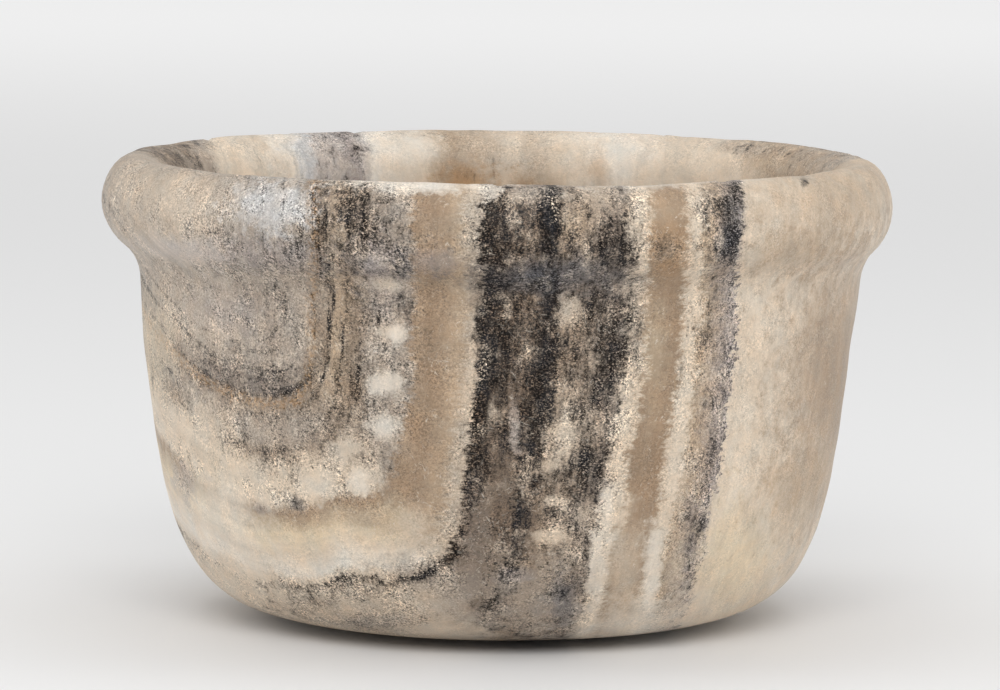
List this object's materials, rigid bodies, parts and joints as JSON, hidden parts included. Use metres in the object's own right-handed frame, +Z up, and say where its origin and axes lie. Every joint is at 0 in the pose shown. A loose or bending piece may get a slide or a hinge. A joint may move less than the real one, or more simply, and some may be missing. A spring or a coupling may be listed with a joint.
{
  "type": "alabaster dish",
  "caption": "Round hand-carved banded alabaster dish with thick walls, a rolled collar round the wide open mouth, a full heel and a small flat foot.",
  "frame": {"origin": "middle of the collar's outline, on the plane of the flat foot", "axes": "+Z up through the mouth, +X to the right and -Y towards the viewer of the picture"},
  "size_m": [0.14, 0.14, 0.082],
  "materials": {
    "stone": "worn satin polish"
  },
  "bodies": {
    "root": {"bowl": "stone"}
  },
  "joints": []
}
